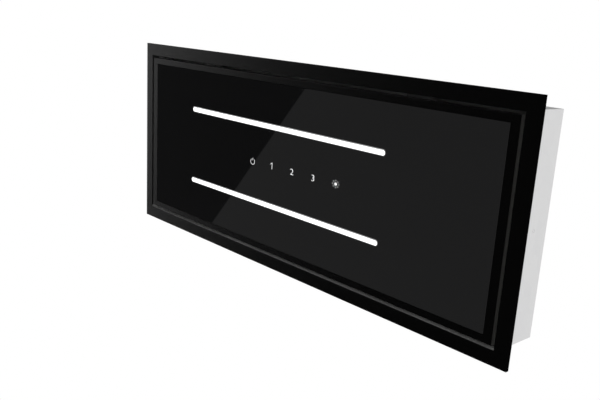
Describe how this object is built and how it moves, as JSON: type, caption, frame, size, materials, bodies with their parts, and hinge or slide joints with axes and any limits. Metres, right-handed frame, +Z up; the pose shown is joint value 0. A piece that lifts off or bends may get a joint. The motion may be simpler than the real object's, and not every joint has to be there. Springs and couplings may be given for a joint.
{
  "type": "ceiling range hood",
  "caption": "Flush ceiling range hood: black trim frame, hinged glass panel with touch keys and lamp strips, shallow steel housing, blower box and duct collar.",
  "frame": {"origin": "centre of the trim frame, in the plane of the ceiling that its outer return closes on", "axes": "+Z up into the ceiling, +X along the long side towards the control box end, +Y towards the hinged long side of the panel"},
  "size_m": [0.9, 0.35, 0.2465],
  "materials": {
    "black_steel": "brushed black",
    "galvanised": "zinc coated, matt",
    "glass": "black back-printed, polished",
    "lens": "opal",
    "aluminium": "mill",
    "filter_mesh": "expanded mesh",
    "black_plastic": "moulded",
    "grey_plastic": "moulded",
    "circuit": "lacquered circuit board",
    "steel": "zinc plated"
  },
  "bodies": {
    "housing": {"trim_frame": "black_steel", "frame_rivets": "steel", "housing_walls": "galvanised", "housing_top": "galvanised", "filter_deck": "black_steel", "deck_edges": "black_steel", "deck_rivets": "steel", "filter_rail_far": "black_steel", "filter_rail_near": "black_steel", "deck_screws": "steel", "filter_frame_left": "aluminium", "filter_frame_right": "aluminium", "filter_mesh_left": "filter_mesh", "filter_mesh_right": "filter_mesh", "hinge_bracket_left": "steel", "hinge_bracket_right": "steel", "magnetic_catches": "black_plastic", "blower_box": "galvanised", "blower_lid": "galvanised", "blower_scroll": "black_plastic", "scroll_cover": "black_plastic", "inlet_ring": "galvanised", "motor": "steel", "motor_bracket": "galvanised", "duct_collar": "black_plastic", "blower_screws": "steel", "flap_rod": "steel", "control_box": "grey_plastic", "control_lid": "grey_plastic", "control_lid_screws": "steel", "power_board": "circuit", "mains_gland": "black_plastic", "motor_conduit": "grey_plastic", "lamp_driver": "grey_plastic", "hangers": "galvanised", "housing_screws": "steel"},
    "panel": {"hinge_leaf_left": "steel", "hinge_leaf_right": "steel", "hinge_pin_left": "steel", "hinge_pin_right": "steel", "catch_strikes": "steel", "panel_rim": "black_steel", "panel_plate": "galvanised", "glass_pane": "glass", "panel_screws": "steel", "lamp_lens_near": "lens", "lamp_lens_far": "lens", "lamp_channel_near": "aluminium", "lamp_channel_far": "aluminium", "lamp_board_near": "circuit", "lamp_board_far": "circuit", "touch_board": "circuit", "touch_cover": "black_plastic"},
    "blower_wheel": {"impeller": "black_plastic", "impeller_nut": "steel", "motor_shaft": "steel"},
    "flap_far": {"flap_far": "black_plastic"},
    "flap_near": {"flap_near": "black_plastic"},
    "latch_left": {"filter_latch_left": "black_plastic"},
    "latch_right": {"filter_latch_right": "black_plastic"}
  },
  "joints": [
    {"name": "panel_hinge", "type": "hinge", "parent": "housing", "child": "panel", "pos_m": [0, 0.1234, 0.008], "axis": [1, 0, 0], "range_deg": [0, 85]},
    {"name": "wheel_spin", "type": "hinge", "parent": "housing", "child": "blower_wheel", "pos_m": [0.03, 0, 0.13], "axis": [0, 0, 1], "continuous": true},
    {"name": "flap_far_swing", "type": "hinge", "parent": "housing", "child": "flap_far", "pos_m": [-0.18, 0.045, 0.158], "axis": [0, 0, 1], "range_deg": [0, 80], "stiffness_Nm_per_rad": 0.02},
    {"name": "flap_near_swing", "type": "hinge", "parent": "housing", "child": "flap_near", "pos_m": [-0.18, 0.045, 0.158], "axis": [0, 0, 1], "range_deg": [-80, 0], "stiffness_Nm_per_rad": 0.02},
    {"name": "latch_left_slide", "type": "slide", "parent": "housing", "child": "latch_left", "axis": [0, 1, 0], "range_m": [0, 0.005], "stiffness_N_per_m": 400, "springref_m": -0.002},
    {"name": "latch_right_slide", "type": "slide", "parent": "housing", "child": "latch_right", "axis": [0, 1, 0], "range_m": [0, 0.005], "stiffness_N_per_m": 400, "springref_m": -0.002}
  ],
  "couplings": [
    {"joint": "flap_near_swing", "follows": "flap_far_swing", "ratio": -1}
  ]
}
